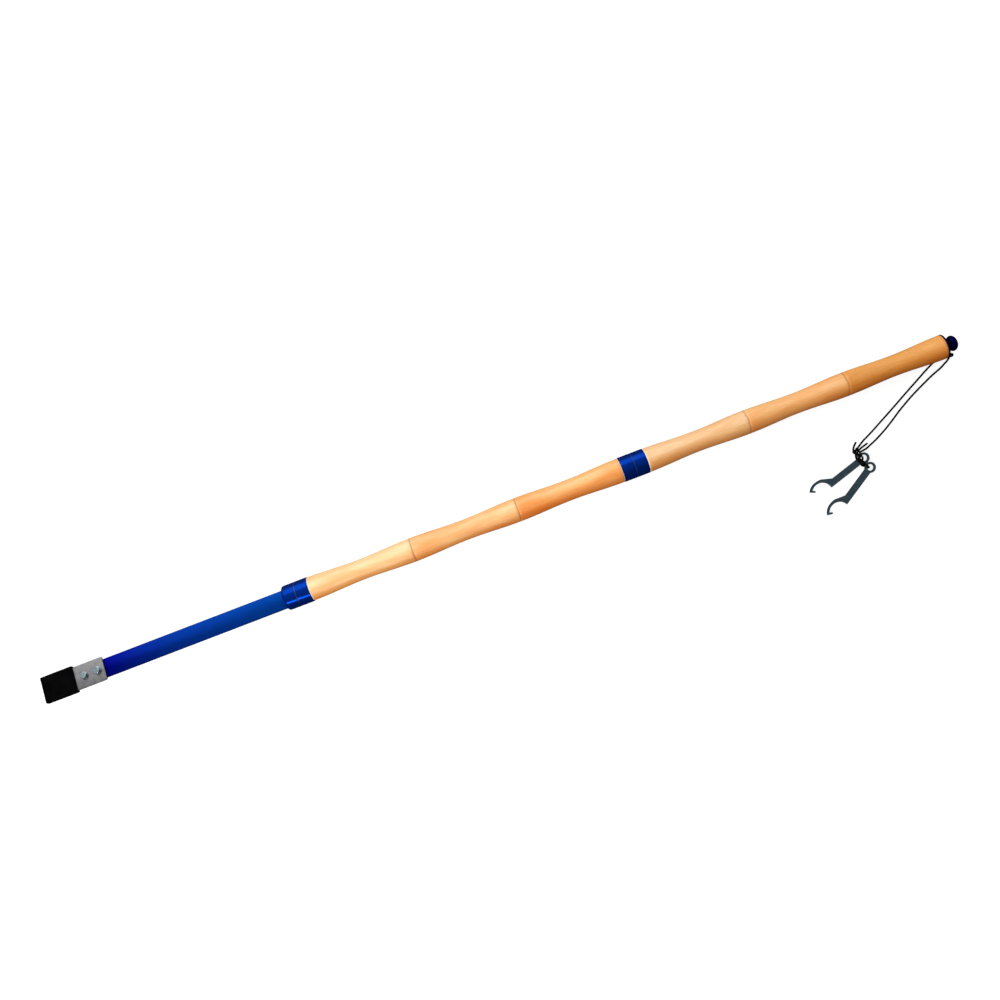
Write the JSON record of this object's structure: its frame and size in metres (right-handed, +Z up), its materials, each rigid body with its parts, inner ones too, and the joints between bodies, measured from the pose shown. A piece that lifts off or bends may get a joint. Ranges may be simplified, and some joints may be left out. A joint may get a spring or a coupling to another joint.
{
  "type": "boat hook",
  "caption": "Sectional turned-wood boat pole with blue steel screw collars, a flat painted blade shod with a rubber boot, a round butt knob, and hook spanners on a cord.",
  "frame": {"origin": "on the surface that the pole lies on, under the middle of the pole without its lanyard", "axes": "+X along the pole from the blade to the butt knob, +Z up, the lanyard and spanners lie on the -Y side"},
  "size_m": [1.5334, 0.2077, 0.04],
  "materials": {
    "blue_paint": "glossy blue enamel",
    "beech": "turned and varnished beech",
    "zinc_plated_steel": "bright zinc plate",
    "bare_steel": "bright turned steel",
    "dark_steel": "blued, with a slate colour",
    "black_rubber": "matt moulded rubber",
    "blue_nylon": "smooth dark blue nylon",
    "black_cord": "braided cord"
  },
  "bodies": {
    "rear_section": {"rear_section_front_ring": "blue_paint", "rear_section_stud": "bare_steel", "rear_section_core_tube": "bare_steel", "rear_section_grip_1": "beech", "rear_section_grip_2": "beech", "rear_section_grip_3": "beech", "butt_flange": "blue_paint"},
    "middle_washer": {"middle_washer": "blue_nylon"},
    "front_section": {"front_section_front_ring": "blue_paint", "front_section_stud": "bare_steel", "front_section_core_tube": "bare_steel", "front_section_grip_1": "beech", "front_section_grip_2": "beech", "front_section_grip_3": "beech", "front_section_rear_ring": "blue_paint"},
    "blade_washer": {"blade_washer": "blue_nylon"},
    "blade": {"blade_ring": "blue_paint", "blade_bar": "blue_paint", "tip_plate": "zinc_plated_steel", "rubber_boot": "black_rubber", "tip_bolt_1": "zinc_plated_steel", "tip_bolt_2": "zinc_plated_steel", "tip_head_washer_1": "zinc_plated_steel", "tip_head_washer_2": "zinc_plated_steel", "tip_nut_washer_1": "zinc_plated_steel", "tip_nut_washer_2": "zinc_plated_steel", "tip_nut_1": "zinc_plated_steel", "tip_nut_2": "zinc_plated_steel"},
    "butt_washer": {"butt_washer": "blue_nylon", "lanyard_hitch": "black_cord"},
    "butt_knob": {"butt_knob": "blue_paint"},
    "lanyard": {"lanyard_strand_a": "black_cord", "lanyard_strand_b": "black_cord", "lanyard_loop": "black_cord", "lanyard_knot": "black_cord"},
    "hook_spanner_1": {"hook_spanner_1": "dark_steel"},
    "hook_spanner_2": {"hook_spanner_2": "dark_steel"}
  },
  "joints": [
    {"name": "middle_unscrew", "type": "hinge", "parent": "middle_washer", "child": "front_section", "pos_m": [0.22405, 0, 0.02], "axis": [-1, 0, 0], "range_deg": [0, 1800]},
    {"name": "middle_travel", "type": "slide", "parent": "rear_section", "child": "middle_washer", "axis": [-1, 0, 0], "range_m": [0, 0.01]},
    {"name": "blade_unscrew", "type": "hinge", "parent": "blade_washer", "child": "blade", "pos_m": [-0.33995, 0, 0.02], "axis": [-1, 0, 0], "range_deg": [0, 1800]},
    {"name": "blade_travel", "type": "slide", "parent": "front_section", "child": "blade_washer", "axis": [-1, 0, 0], "range_m": [0, 0.01]},
    {"name": "knob_unscrew", "type": "hinge", "parent": "butt_washer", "child": "butt_knob", "pos_m": [0.7475, 0, 0.02], "axis": [1, 0, 0], "range_deg": [0, 1800]},
    {"name": "butt_travel", "type": "slide", "parent": "rear_section", "child": "butt_washer", "axis": [1, 0, 0], "range_m": [0, 0.01]},
    {"name": "lanyard_sweep", "type": "hinge", "parent": "butt_washer", "child": "lanyard", "pos_m": [0.7555, -0.0162, 0.0088], "axis": [0, 0, 1], "range_deg": [-5, 75]},
    {"name": "spanner_1_swing", "type": "hinge", "parent": "lanyard", "child": "hook_spanner_1", "pos_m": [0.571, -0.1198, 0.004], "axis": [0, 0, 1], "range_deg": [-20, 3]},
    {"name": "spanner_2_swing", "type": "hinge", "parent": "lanyard", "child": "hook_spanner_2", "pos_m": [0.575, -0.1374, 0.004], "axis": [0, 0, 1], "range_deg": [-3, 60]}
  ],
  "couplings": [
    {"joint": "middle_unscrew", "follows": "middle_travel", "rad_per_m": 3141.6},
    {"joint": "blade_unscrew", "follows": "blade_travel", "rad_per_m": 3141.6},
    {"joint": "knob_unscrew", "follows": "butt_travel", "rad_per_m": 3141.6}
  ]
}
